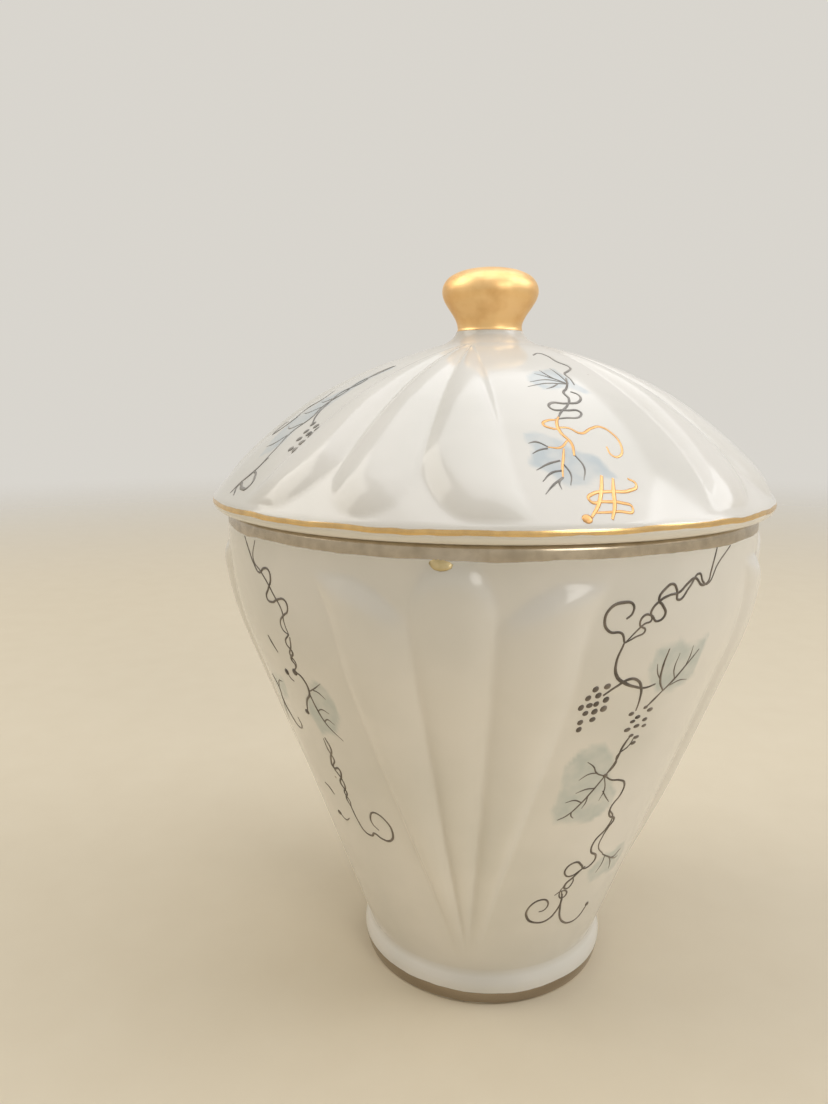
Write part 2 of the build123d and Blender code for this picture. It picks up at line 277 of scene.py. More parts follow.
def lid_rise(across, r):
    """Height of the lid's lobes, in mm, this far from the middle of a group and the axis."""
    x, z = abs(across), dome(r)[0]
    ridge = max(0.1, 0.165 * (r - 6))
    edge = between(r, LID_EDGE)
    grown = min(1, max(0, (r - 9.5) / 22)) ** 0.9
    if x < ridge:
        end = 96.4 - 5.1 * math.sqrt(max(0, 1 - (x / 6.6) ** 2))
        return LID_RISE * arch(-z, -end, LID_RAMP) * swell(x / ridge) * grown
    if x < edge:
        t = (x - ridge) / (edge - ridge)
        end = 96.4 - 5.1 * math.sin(math.pi / 2 * min(1, max(0, (x - 7.5) / 9)))
        return LID_RISE * arch(-z, -end, LID_RAMP) * swell(2 * t - 1) * grown
    return 0.0


def raise_lid(p):
    """Move a point of the turned lid out if it is on the outside of the dome."""
    r, z = math.hypot(p.x, p.y), p.z
    if not CROWN_R < r < 49.6 or z < dome(r)[0] - 1:
        return p
    out = dome(r)[1]
    angle = math.atan2(p.x, -p.y)
    moved = out * lid_rise(from_middle(angle, LID_TURN) * r, r)
    r += moved.x
    return Vector((r * math.sin(angle), -r * math.cos(angle), z + moved.y))


print("lid lobe heights near the edge", round(lid_rise(0, 42), 2), round(lid_rise(12, 42), 2))

# %% Turning the lid
RING_OUT, RING_IN, RING_Z = 43.1, 40.1, 82.0
edge_angle = math.acos((49.6 - DOME_C.x) / DOME_R)
crown_angle = math.acos((CROWN_R - DOME_C.x) / DOME_R)
under_first = math.acos((RING_IN - DOME_C.x) / (DOME_R - 3.3))
under_last = math.acos(-DOME_C.x / (DOME_R - 3.3))
socket = [(0, 116.65, 0), (2.55, 116.65, 0.2), (2.55, COLLAR_Z, 0.2), (6.0, COLLAR_Z, 0.35)]
flare = [(6.25, 118.35, 0), (6.75, 117.75, 0), (7.45, 117.2, 0), (8.3, 116.75, 0),
         (9.15, 116.42, 0)]
over = arc(DOME_C, DOME_R, crown_angle, edge_angle, 92)
edge = [(49.85, 90.45, 0), (49.97, 90.1, 0), (50.0, 89.7, 0), (49.9, 89.25, 0), (49.6, 88.8, 0),
        (49.0, 88.35, 0), (48.2, 88.08, 0), (47.2, 88.0, 0)]
ring = [(RING_OUT, 88.0, 0.4), (RING_OUT, RING_Z, 1.0), (RING_IN, RING_Z, 1.0)]
under = arc(DOME_C, DOME_R - 3.3, under_first, under_last, 18)
lid = turned("fluted_lid", rounded(socket + flare + over + edge + ring + under), raise_lid)
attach(lid, "lid")
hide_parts("lid")

# %% [markdown]
# ## The knob
#
# A squat mushroom, turned by itself and stuck on with slip, then gilded all over. Hand-finished
# porcelain is never quite round, so its points are moved by a fraction of a millimetre of smooth
# noise. `smooth_line` is a Catmull-Rom curve: it passes through every point it is given.

# %% Turning the knob
def smooth_line(points, steps=7):
    """A smooth line through these points."""
    ends = [2 * points[0] - points[1]] + points + [2 * points[-1] - points[-2]]
    line = []
    for a, b, c, d in zip(ends, ends[1:], ends[2:], ends[3:]):
        for k in range(steps):
            t = k / steps
            line.append(0.5 * (2 * b + (c - a) * t + (2 * a - 5 * b + 4 * c - d) * t * t
                               + (3 * b - a - 3 * c + d) * t**3))
    return line + [points[-1]]


KNOB_LINE = [(5.9, 119.0), (5.78, 119.5), (5.95, 120.5), (6.6, 121.8), (7.55, 123.2),
             (8.3, 124.5), (8.6, 125.8), (8.35, 127.1), (7.45, 128.3), (5.8, 129.2),
             (3.9, 129.72), (2.0, 129.95), (0, 130.0)]


def hand_turned(p):
    """Move a point of the knob a little in or out, the same way for a whole patch."""
    if p.z < COLLAR_Z + 0.5:
        return p
    swell = 1 + 0.012 * noise.noise(p * 0.12) + 0.004 * noise.noise(p * 0.45)
    return Vector((p.x * swell, p.y * swell, p.z))


tenon = rounded([(0, 116.8, 0), (2.4, 116.8, 0.2), (2.4, COLLAR_Z, 0)])
knob = turned("gilt_knob", tenon + smooth_line([Vector(p) for p in KNOB_LINE]), hand_turned, 160)
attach(knob, "lid")
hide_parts("lid_knob")

# %% [markdown]
# ## Paint that stands on the glaze
#
# The vine is drawn with a fine brush in a thick enamel that stays a little proud of the glaze. It
# could be painted in a texture, but a line is crisper, and catches the light, as a shape. Each
# stroke is a Bezier curve with a round bevel, drawn flat in millimetres on its panel. It becomes
# a mesh first, and then every point of it is laid on the wall: x along the wall, z up it, and the
# bevel's own height flattened to a low ridge.

# %% Laying flat drawings on the bowl and the lid
LOW_RIDGE = 0.42      # share of a stroke's round height that is kept


def laid(angle, r, z, out, height):
    """The spot this far above the surface, which is at r and z and faces `out`."""
    r, z = r + out.x * height, z + out.y * height
    return Vector((r * math.sin(angle), -r * math.cos(angle), z)) * MM


def on_bowl(turn):
    """How to lay a drawing on the bowl, with its middle at this angle from the front."""
    def place(x, height, z):
        r, out = wall(z)
        angle = turn + x / r
        rise = bowl_rise(from_middle(angle) * r, z)
        return laid(angle, r, z, out, height * LOW_RIDGE + rise)
    return place


def on_lid(turn):
    """The same for the lid, where a drawing's z is the distance from the axis."""
    def place(x, height, r):
        z, out = dome(r)
        angle = turn + x / r
        rise = lid_rise(from_middle(angle, LID_TURN) * r, r)
        return laid(angle, r, z, out, height * LOW_RIDGE + rise)
    return place


# %% Brush strokes
def painted(name, drawings, body):
    """One piece from drawings, each (how to lay it, strokes, dots).

    A stroke is (points, width, share of the width left at its end) and a dot is
    (x, z, width, height), all in mm."""
    bm = bmesh.new()
    for place, strokes, dots in drawings:
        line = bpy.data.curves.new("stroke", "CURVE")
        line.dimensions, line.bevel_depth, line.bevel_resolution = "3D", 1.0, 1
        line.resolution_u, line.use_fill_caps = 7, True
        for points, width, taper in strokes:
            stroke = line.splines.new("BEZIER")
            stroke.bezier_points.add(len(points) - 1)
            for n, (knot, (x, z)) in enumerate(zip(stroke.bezier_points, points)):
                knot.co = (x, 0, z)
                knot.handle_left_type = knot.handle_right_type = "AUTO"
                press = math.sin(math.pi * (0.12 + 0.76 * n / (len(points) - 1))) ** 0.5
                press *= 1 - (1 - taper) * n / (len(points) - 1)
                knot.radius = width / 2 * press * random.uniform(0.85, 1.12)
        holder = bpy.data.objects.new("stroke", line)
        bpy.context.scene.collection.objects.link(holder)
        drawn = bpy.data.meshes.new_from_object(holder.evaluated_get(
            bpy.context.evaluated_depsgraph_get()))
        bpy.data.objects.remove(holder)
        bpy.data.curves.remove(line)
        before = len(bm.verts)
        bm.from_mesh(drawn)
        bpy.data.meshes.remove(drawn)
        for x, z, wide, high in dots:
            new = bmesh.ops.create_icosphere(bm, subdivisions=2, radius=0.5)["verts"]
            for v in new:
                v.co = Vector((x + v.co.x * wide, v.co.y * min(wide, high), z + v.co.z * high))
        bm.verts.ensure_lookup_table()
        for v in bm.verts[before:]:
            v.co = place(v.co.x, v.co.y, v.co.z)
    bmesh.ops.recalc_face_normals(bm, faces=bm.faces)
    mesh = bpy.data.meshes.new(name)
    bm.to_mesh(mesh)
    bm.free()
    mesh.shade_smooth()
    piece = bpy.data.objects.new(name, mesh)
    bpy.context.scene.collection.objects.link(piece)
    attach(piece, body)
    print(name, len(mesh.polygons), "faces")
    return piece


# %% [markdown]
# ## The vines on the bowl
#
# The four plain panels between the groups carry two sprigs in turn. The full one has a pair of
# tendrils winding down from the gilt band, a curl, two bunches of small grapes, three leaves with
# their veins, and loose ends that curl above the foot. The slight one is a single tendril round a
# straight one, a leaf and a curl. The numbers are millimetres from the middle of the panel and
# above the table. Every panel is painted by hand, so each sprig is nudged a little.

# %% Drawing the bowl's sprigs
LINE = 0.5            # width of the brush line
FINE = 0.4            # width of a leaf's side veins


def tendril(*points, width=LINE, taper=0.85):
    """A stroke of even weight."""
    return list(points), width, taper


def vein(*points):
    """A finer stroke that thins out to its end."""
    return list(points), FINE, 0.45


FULL_SPRIG = [
    tendril((8.4, 85.6), (4.9, 83.2), (2.9, 80.5), (1.6, 81.0), (0.6, 82.4), (-1.4, 80.6),
            (-3.4, 79.0), (-3.8, 80.4), (-4.9, 81.5), (-6.2, 80.9), (-7.1, 79.4), (-6.2, 78.4),
            (-5.5, 77.0), (-6.9, 76.2), (-8.2, 77.1), (-9.3, 77.2), (-9.8, 76.0), (-8.8, 74.9),
            (-10.2, 74.0), (-11.8, 73.4)),
    tendril((4.5, 85.8), (3.4, 82.4), (3.0, 80.9), (1.6, 80.5), (-0.4, 81.8), (-1.9, 81.2),
            (-3.4, 80.0), (-5.2, 79.9), (-6.9, 79.2), (-8.2, 77.8), (-8.0, 76.3), (-9.0, 75.9),
            (-10.2, 75.1), (-11.8, 73.4)),
    tendril((-11.8, 73.4), (-12.6, 74.9), (-14.6, 75.3), (-15.7, 76.9), (-15.0, 78.8),
            (-13.0, 79.6), (-11.5, 79.0), (-11.5, 77.8), (-12.4, 77.1), width=LINE * 1.2),
    tendril((-11.8, 73.4), (-12.4, 70.6), (-11.6, 68.2), (-9.6, 66.7), (-7.6, 65.7),
            (-5.6, 65.2), (-3.6, 65.5), width=LINE * 1.2),
    tendril((-12.7, 65.1), (-11.0, 66.2), (-9.2, 67.2), (-7.4, 66.8), (-6.2, 65.2),
            (-5.6, 63.2), (-5.4, 61.2), width=LINE * 1.15),
    tendril((-3.6, 61.4), (-2.4, 62.7), (-1.2, 63.9)),
    tendril((-1.2, 63.9), (-2.8, 65.8), (-3.3, 68.6), (-3.1, 71.3)),
    tendril((-1.2, 63.9), (0.4, 65.4), (2.4, 67.6), (4.4, 69.8)),
    vein((-0.2, 64.6), (2.0, 65.0), (4.2, 64.6)), vein((0.6, 65.6), (-0.4, 67.6), (-0.3, 70.2)),
    vein((-2.9, 66.2), (-4.0, 67.4), (-4.6, 69.2)), vein((2.2, 67.4), (2.6, 69.2), (2.5, 70.8)),
    tendril((-4.4, 56.6), (-5.2, 54.6), (-5.4, 52.2), (-6.6, 49.3)),
    tendril((-3.6, 56.2), (-4.0, 54.6), (-5.6, 53.0), (-5.4, 51.4), (-6.6, 49.3), width=FINE),
    tendril((-6.6, 49.3), (-7.9, 46.8), (-9.4, 44.2), (-11.0, 42.4), (-12.4, 41.6), taper=0.5),
    vein((-6.6, 49.3), (-8.4, 50.4), (-9.6, 51.8), (-11.0, 52.8)),
    vein((-8.2, 50.2), (-9.8, 50.4), (-11.3, 49.5)),
    vein((-7.7, 47.2), (-9.2, 47.4), (-11.0, 46.8)),
    vein((-9.2, 44.6), (-10.8, 45.3), (-12.2, 45.2)),
    vein((-8.4, 45.8), (-8.3, 44.4), (-8.8, 43.4)),
    vein((-10.4, 43.0), (-10.2, 42.1), (-9.6, 41.5)),
    vein((-6.5, 49.0), (-5.6, 46.4), (-5.9, 44.2)),
    vein((-5.7, 46.2), (-4.6, 44.6), (-3.4, 43.4)),
    tendril((-6.6, 49.3), (-5.0, 48.2), (-3.0, 47.7), (-1.5, 46.6), (-1.2, 44.4), (-2.3, 41.9),
            (-2.0, 40.0), (-0.3, 38.8), (-0.9, 37.2), (-1.5, 35.8), (-1.4, 33.4), (0.5, 31.0)),
    tendril((-2.3, 41.4), (-1.0, 39.6), (-1.4, 37.4), (-3.0, 35.0), (-2.8, 32.8), (-1.2, 31.2),
            (-1.3, 29.8), (-3.0, 29.0), (-4.0, 30.2), (-5.4, 31.2), (-6.9, 30.3), (-6.6, 28.6),
            (-5.2, 28.1), (-4.0, 28.7), (-2.9, 29.4)),
    tendril((-2.9, 29.4), (-4.6, 27.8), (-5.9, 26.1), (-5.2, 25.2), (-4.4, 26.4), (-4.8, 27.7)),
    tendril((-5.9, 26.1), (-6.4, 24.6), (-5.4, 23.2), (-4.8, 24.2), (-6.2, 24.8), (-7.2, 24.2),
            width=FINE),
    tendril((0.5, 31.0), (2.6, 29.4), (4.4, 28.6), (6.4, 29.6), taper=0.6),
    vein((3.0, 29.2), (4.2, 27.6), (4.8, 25.8)), vein((1.4, 30.3), (1.5, 28.4), (0.8, 26.6)),
    vein((3.8, 28.9), (5.4, 28.0), (6.6, 27.9)),
    tendril((-6.0, 24.8), (-5.3, 22.6), (-5.4, 20.4), (-6.8, 18.3), (-9.0, 18.2), (-11.0, 19.8),
            (-11.4, 22.2), (-9.8, 23.8), (-8.0, 22.8), (-8.1, 21.0), (-9.2, 20.9)),
    tendril((-5.6, 24.0), (-4.9, 20.8), (-4.2, 18.2), (-2.9, 16.6), (-1.1, 15.6), (0.8, 16.0),
            (1.8, 17.6), (2.0, 18.6)),
]
FULL_GRAPES = [(-14.4, 66.2), (-12.6, 66.5), (-13.5, 65.2), (-15.0, 64.9), (-12.0, 64.2),
               (-13.4, 63.7), (-15.6, 63.3), (-14.5, 63.4), (-11.9, 62.7), (-13.1, 62.2),
               (-14.6, 62.1), (-13.0, 60.9), (-14.9, 60.6), (-14.7, 59.4)]
CUT_GRAPES = [(-6.2, 60.7), (-4.5, 59.9), (-2.8, 59.1), (-5.2, 59.3), (-5.7, 57.9), (-4.1, 58.1),
              (-2.4, 57.8), (-4.4, 56.5), (-3.1, 55.9), (-3.4, 54.8), (-2.4, 60.7), (-3.7, 61.4)]
FULL_DOTS = ([(x, z, random.uniform(0.9, 1.15), random.uniform(0.9, 1.15)) for x, z in FULL_GRAPES]
             + [(x, z, random.uniform(0.9, 1.3), random.uniform(0.6, 0.8)) for x, z in CUT_GRAPES]
             + [(2.0, 18.7, 0.9, 1.0), (-6.6, 49.3, 0.9, 0.9)])

SLIGHT_SPRIG = [
    tendril((-3.1, 85.5), (-1.4, 83.4), (0.1, 81.6), (1.7, 80.3), (3.4, 81.2), (4.9, 81.3),
            (5.3, 79.8), (4.2, 78.2), (3.3, 76.4), (4.8, 76.0), (6.4, 76.8), (8.4, 77.0),
            (8.8, 75.6), (7.2, 74.3), (5.9, 73.0), (6.2, 71.8), (7.4, 71.2)),
    tendril((1.0, 85.4), (0.1, 82.2), (2.2, 80.6), (3.9, 79.4), (5.6, 77.4), (7.0, 75.2),
            (7.0, 73.2), (7.4, 71.2), width=FINE),
    tendril((7.4, 71.2), (6.0, 69.6), (6.9, 68.2), (5.9, 66.8), (6.4, 65.8), (5.4, 64.5)),
    tendril((7.5, 70.8), (7.1, 69.2), (6.0, 67.6), (6.8, 66.2), (5.4, 64.5), width=FINE),
    tendril((5.4, 64.5), (7.2, 63.6), (7.3, 61.2), (5.6, 59.2), (4.2, 56.7), width=LINE * 1.1),
    vein((7.4, 61.4), (9.4, 62.4), (11.4, 63.7)), vein((8.8, 62.0), (10.0, 61.8), (11.2, 61.0)),
    tendril((7.3, 61.2), (7.7, 58.4), (8.6, 55.8), (11.4, 53.5), taper=0.5),
    vein((7.8, 58.0), (9.0, 58.6), (10.6, 58.3)), vein((8.5, 56.2), (9.6, 56.8), (10.8, 56.3)),
    tendril((6.6, 52.7), (7.0, 50.6), (5.7, 48.2), (5.5, 46.6), (7.1, 46.8), (7.0, 45.2),
            (5.9, 43.6), (6.6, 42.0), (5.8, 40.6), (6.2, 39.1)),
    tendril((6.0, 52.4), (6.1, 50.4), (6.7, 48.4), (5.6, 46.7), (6.6, 44.8), (6.9, 43.2),
            (5.9, 41.6), (6.5, 40.2), (6.2, 39.1), width=FINE),
    tendril((6.2, 39.1), (6.6, 36.4), (7.6, 34.2), (9.0, 34.0), (9.8, 34.9), (11.2, 34.2),
            (12.9, 34.3), (14.3, 36.4), (13.7, 39.0), (11.9, 39.9), (10.6, 38.6), (10.5, 37.0),
            (11.4, 36.0)),
    tendril((0.2, 69.6), (0.9, 68.4), (2.0, 66.9)),
    tendril((2.6, 63.6), (3.0, 62.6), (3.9, 62.2), width=FINE),
    tendril((-0.5, 41.1), (0.9, 40.7), (1.8, 39.6)),
    tendril((0.9, 35.6), (2.4, 34.6), (4.0, 35.6), width=FINE),
    tendril((-6.4, 60.6), (-5.2, 58.2), (-6.2, 55.6), (-4.6, 53.2), (-2.4, 51.6), (-0.6, 52.4),
            (-0.9, 54.0)),
    vein((-5.0, 58.6), (-3.4, 60.2), (-1.6, 60.6)), vein((-6.1, 55.8), (-7.6, 53.4), (-8.2, 51.0)),
]
SLIGHT_DOTS = [(5.4, 64.3, 1.2, 1.3), (2.5, 63.6, 1.1, 1.2), (0.8, 35.5, 1.1, 1.0),
               (4.2, 56.8, 1.1, 1.0)]


def nudged(strokes, dots, most=0.25):
    """The same drawing with every point moved a little, as a second painting of it would be."""
    def near(value):
        return value + random.uniform(-most, most)
    moved = [([(near(x), near(z)) for x, z in points], width, taper)
             for points, width, taper in strokes]
    return moved, [(near(x), near(z), wide, high) for x, z, wide, high in dots]


PANEL_TURNS = [math.pi / GROUPS + 2 * math.pi / GROUPS * n for n in range(GROUPS)]
sprigs = []
for n, turn in enumerate(PANEL_TURNS):
    drawing = (SLIGHT_SPRIG, SLIGHT_DOTS) if n % 2 else (FULL_SPRIG, FULL_DOTS)
    sprigs.append((on_bowl(turn), *nudged(*drawing, 0.1)))
bowl_vine = painted("painted_vine_bowl", sprigs, "bowl")

# %% [markdown]
# ## The vines on the lid
#
# The lid has two sprigs of its own, in turn round it: one partly in gold and nearest to the eye,
# one all in grey with a bunch of grapes. The grey strokes and the gold ones are two pieces,
# because a gilder lays the gold after the enamel is fired. Here the numbers are millimetres from
# the middle of the panel and from the lid's axis.

# %% Drawing the lid's sprigs
FIRST_GREY = [
    tendril((0.6, 16.4), (2.2, 15.4), (3.2, 16.8), (3.5, 19.0), (4.8, 21.6), (3.6, 23.0),
            (2.4, 23.9), (2.6, 25.4), (2.4, 27.2)),
    tendril((1.9, 25.2), (1.3, 26.8), (0.2, 28.2), (-0.8, 29.4), (-0.7, 30.8), (-1.6, 32.3),
            (-3.4, 33.8), (-4.6, 35.0)),
    vein((1.3, 26.8), (1.2, 24.6), (0.6, 21.9)), vein((1.3, 26.8), (-0.8, 25.2), (-2.8, 23.9)),
    vein((1.2, 26.9), (-1.6, 25.8), (-4.7, 26.4)), vein((0.9, 27.0), (-2.2, 26.8), (-5.8, 27.8)),
    vein((-0.6, 26.9), (-1.8, 27.8), (-3.1, 28.3)), vein((-0.4, 25.4), (-1.2, 23.9), (-1.4, 22.6)),
    tendril((0.6, 29.0), (1.6, 30.0), (0.8, 31.4), (-1.8, 31.9), (-4.2, 31.9), (-4.6, 32.8),
            (-2.4, 33.3), (-0.4, 33.8), (-0.9, 34.7), (-3.4, 35.0), (-5.2, 35.2)),
    vein((-8.4, 40.0), (-9.6, 39.2), (-10.8, 39.3)),
    vein((-8.6, 40.1), (-9.8, 40.3), (-11.0, 41.0)),
    vein((-7.6, 42.0), (-9.4, 42.4), (-11.5, 43.3)),
    vein((-7.9, 43.3), (-9.6, 43.7), (-11.3, 44.7)),
    vein((-8.4, 44.2), (-10.0, 45.2), (-11.6, 46.2)),
    vein((-8.3, 44.1), (-9.2, 44.8), (-9.2, 45.6)),
    vein((-7.3, 42.3), (-7.0, 43.8), (-7.7, 45.2)), vein((-5.2, 41.2), (-4.6, 42.8), (-5.4, 44.7)),
]
FIRST_GOLD = [
    tendril((-4.4, 34.8), (-5.2, 35.9), (-5.3, 37.6), (-4.7, 39.4), (-5.2, 41.2), width=LINE * 1.2),
    tendril((-4.9, 35.2), (-6.4, 35.4), (-7.2, 36.1), (-6.4, 36.8), (-5.3, 37.0)),
    tendril((-5.3, 36.7), (-3.8, 36.8), (-2.4, 37.8), (-0.4, 37.0), (1.4, 36.6), (2.7, 37.8),
            (3.0, 39.8), (1.8, 41.5), (0.5, 41.3), (0.4, 40.1)),
    tendril((-5.0, 38.9), (-6.6, 40.1), (-8.3, 40.0), taper=0.6),
    tendril((-6.2, 40.1), (-6.9, 41.6), (-7.8, 43.0), (-8.3, 44.2), taper=0.6),
    tendril((-2.7, 44.2), (-3.7, 46.0), (-5.0, 47.6), (-6.6, 48.9), width=LINE * 1.35),
    tendril((-1.1, 44.4), (-1.8, 46.0), (-2.8, 47.8), (-3.7, 49.2), width=LINE * 1.35),
    tendril((1.2, 44.6), (2.0, 45.3), (0.6, 46.0), (-2.6, 46.1), (-5.2, 46.3), (-5.9, 46.9),
            (-3.8, 47.2), (-1.4, 47.5), (-0.2, 48.1), (-2.4, 48.4), (-5.8, 48.3)),
]
SECOND_GREY = [
    tendril((5.0, 20.4), (4.4, 23.6), (5.6, 26.4), (4.2, 29.2), (5.8, 32.2), (7.6, 34.6),
            (9.8, 36.4)),
    tendril((5.4, 20.4), (5.2, 23.2), (4.2, 26.0), (5.6, 29.4), (5.2, 32.4), (7.0, 35.6),
            (6.4, 38.4), (7.8, 41.6), (8.4, 44.4)),
    vein((5.4, 30.0), (3.2, 31.6), (1.6, 31.8)), vein((5.2, 33.0), (2.6, 34.4), (0.2, 34.6)),
    vein((6.6, 36.6), (3.6, 37.8), (1.4, 37.4)), vein((6.6, 38.8), (4.4, 40.8), (2.4, 41.4)),
    tendril((8.6, 43.0), (8.2, 45.4), (7.0, 47.0), (6.4, 48.4), width=LINE * 1.2),
    tendril((8.2, 45.2), (10.2, 45.8), (11.6, 47.2), (9.6, 47.6), (7.2, 47.4), (8.6, 48.6)),
    tendril((-2.0, 28.6), (-0.6, 31.0), (-2.2, 33.4), (-0.8, 36.2), (-2.6, 38.8), (-4.8, 39.2),
            (-5.4, 37.4), (-4.0, 36.6)),
]
SECOND_GRAPES = [(10.5, 36.6), (12.2, 37.0), (13.7, 37.6), (11.4, 38.2), (12.9, 38.6), (14.7, 39.0),
                 (12.0, 39.6), (13.7, 40.0), (15.0, 40.3), (14.2, 41.2), (15.6, 41.8), (13.0, 41.2)]
SECOND_DOTS = [(x, z, random.uniform(0.8, 1.1), random.uniform(0.8, 1.1)) for x, z in SECOND_GRAPES]

LID_TURNS = [turn + LID_TURN for turn in PANEL_TURNS]
grey_sprigs = []
for n, turn in enumerate(LID_TURNS):
    drawing = (SECOND_GREY, SECOND_DOTS) if n % 2 else (FIRST_GREY, [])
    grey_sprigs.append((on_lid(turn), *nudged(*drawing, 0.1)))
lid_vine = painted("painted_vine_lid", grey_sprigs, "lid")
gold_sprigs = [(on_lid(turn), *nudged(FIRST_GOLD, [(-7.2, 49.0, 1.5, 1.0)], 0.1))
               for turn in LID_TURNS[::2]]
lid_gold = painted("gold_vine_lid", gold_sprigs, "lid")

# %% A run of gold under the rim
run_of_gold = painted("gold_run_bowl", [(on_bowl(0.0), [], [(-1.5, 85.3, 3.6, 1.9)])],
                      "bowl")

# %% [markdown]
# ## Washes of thin colour
#
# The leaves are filled with a wash: colour thinned until the glaze shows through, put down in a
# few flat touches that stop where the brush stopped. A wash has no thickness of its own, so it is
# written on the turned mesh as an attribute, one number per point, and the glaze material reads
# it. Each wash is an outline, and the number falls from 1 to 0 across it in half a millimetre.

# %% Writing the washes
FULL_WASH = [[(-9.0, 55.8), (-11.2, 56.2), (-13.3, 55.3), (-14.9, 52.0), (-13.9, 48.0),
              (-14.2, 44.2), (-13.0, 40.9), (-9.8, 40.6), (-6.0, 39.8), (-2.9, 42.2),
              (-2.4, 44.8), (-3.6, 46.8), (-5.6, 49.4), (-6.6, 53.4)],
             [(-5.4, 71.4), (-1.2, 72.4), (2.0, 71.2), (6.2, 72.0), (5.6, 68.6), (6.0, 65.0),
              (2.4, 63.6), (-1.6, 63.4), (-4.8, 65.6), (-6.0, 68.6)],
             [(1.2, 31.2), (3.8, 30.4), (7.2, 31.4), (8.2, 28.0), (7.4, 24.6), (3.4, 25.2),
              (0.0, 24.4), (-2.0, 27.6)]]
SLIGHT_WASH = [[(10.0, 64.4), (12.6, 63.2), (12.9, 58.6), (10.6, 54.6), (6.2, 53.2), (4.6, 56.4),
                (5.8, 59.8), (7.6, 61.6)],
               [(-4.4, 61.4), (-0.8, 61.6), (-1.2, 57.6), (-4.4, 56.4), (-8.6, 50.4), (-9.6, 54.4),
                (-7.0, 59.0)]]
FIRST_WASH = [[(-11.0, 37.6), (-9.0, 37.3), (-6.6, 38.4), (-4.6, 40.2), (-2.0, 41.6), (0.2, 44.8),
               (-2.8, 44.0), (-5.4, 45.2), (-7.9, 45.6), (-9.6, 44.0), (-12.2, 42.6),
               (-10.6, 40.4)],
              [(1.6, 22.0), (-2.6, 22.8), (-5.2, 26.0), (-3.6, 28.4), (0.4, 28.0), (2.8, 29.6),
               (4.4, 29.2), (2.6, 26.4)]]
SECOND_WASH = [[(6.4, 20.6), (3.0, 23.6), (3.4, 28.0), (0.2, 31.0), (-0.8, 36.0), (1.2, 40.4),
                (4.4, 43.0), (7.8, 41.4), (6.8, 36.0), (7.2, 31.0), (6.0, 26.0)]]


def inside_by(x, z, outline):
    """How far a spot is inside an outline, or outside it if less than 0, in mm."""
    nearest, within = 1e9, False
    for (ax, az), (bx, bz) in zip(outline, outline[1:] + outline[:1]):
        dx, dz = bx - ax, bz - az
        t = min(1, max(0, ((x - ax) * dx + (z - az) * dz) / (dx * dx + dz * dz)))
        nearest = min(nearest, math.hypot(x - ax - t * dx, z - az - t * dz))
        if (az > z) != (bz > z) and x < ax + (z - az) * dx / dz:
            within = not within
    return nearest if within else -nearest


def write_washes(piece, reach, turn, washes):
    """Fill the piece's wash attribute. `reach` gives a point's height on a panel, or None, and
    `washes` the outlines on even and on odd panels."""
    values = []
    share = 2 * math.pi / GROUPS
    for v in piece.data.vertices:
        p = v.co / MM
        r, angle = math.hypot(p.x, p.y), math.atan2(p.x, -p.y) - turn
        up, most = reach(r, p.z), 0.0
        if up is not None:
            n = math.floor(angle / share)
            x = (angle - share * (n + 0.5)) * r
            blur = 0.5 * noise.noise(p * 0.5)
            for outline in washes[n % 2]:
                most = max(most, soft_step(inside_by(x, up, outline) + blur, -0.3, 0.5))
        values.append(most)
    layer = piece.data.attributes.new("wash", "FLOAT", "POINT")
    layer.data.foreach_set("value", values)
    print(piece.name, "points under a wash:", sum(v > 0.1 for v in values))


write_washes(bowl, lambda r, z: z if 20 < z < 74 and r > wall(z)[0] - 2.5 else None, 0.0,
             (FULL_WASH, SLIGHT_WASH))
write_washes(lid, lambda r, z: r if 18 < r < 48 and z > dome(r)[0] - 2.5 else None, LID_TURN,
             (FIRST_WASH, SECOND_WASH))

# %% [markdown]
# ## Materials
#
# Colours are written as the hex values that a screen shows and turned to the linear numbers that
# the shader works in. `add` puts one node in a material with its settings, and links an input
# wherever it is given another node's output.

# %% Colour and nodes
def linear(code):
    """Linear colour from an sRGB hex value such as "F1ECE2"."""
    parts = [int(code[n:n + 2], 16) / 255 for n in (0, 2, 4)]
    return tuple(c / 12.92 if c <= 0.04045 else ((c + 0.055) / 1.055) ** 2.4 for c in parts) + (1,)


def add(tree, kind, values=(), **settings):
    """Add a node with these settings and input values, and return its first output."""
    node = tree.nodes.new("ShaderNode" + kind)
    for key, value in settings.items():
        setattr(node, key, value)
    for key, value in dict(values).items():
        if isinstance(value, bpy.types.NodeSocket):
            tree.links.new(value, node.inputs[key])
        else:
            node.inputs[key].default_value = value
    return node.outputs[0]


def material(name):
    """A new material with its node tree, its surface shader and its object position."""
    new = bpy.data.materials.new(name)
    new.use_nodes = True
    tree = new.node_tree
    spot = tree.nodes.new("ShaderNodeTexCoord").outputs["Object"]
    return new, tree, tree.nodes["Principled BSDF"], spot


def mixed(tree, share, first, second):
    """Colour that goes from first to second with the share. Returns the mix's colour output."""
    mix = tree.nodes.new("ShaderNodeMix")
    mix.data_type = "RGBA"
    for socket, value in ((mix.inputs[0], share), (mix.inputs[6], first), (mix.inputs[7], second)):
        if isinstance(value, bpy.types.NodeSocket):
            tree.links.new(value, socket)
        else:
            socket.default_value = value
    return mix.outputs[2]


print("glaze white in linear numbers", [round(c, 3) for c in linear("F1ECE2")[:3]])
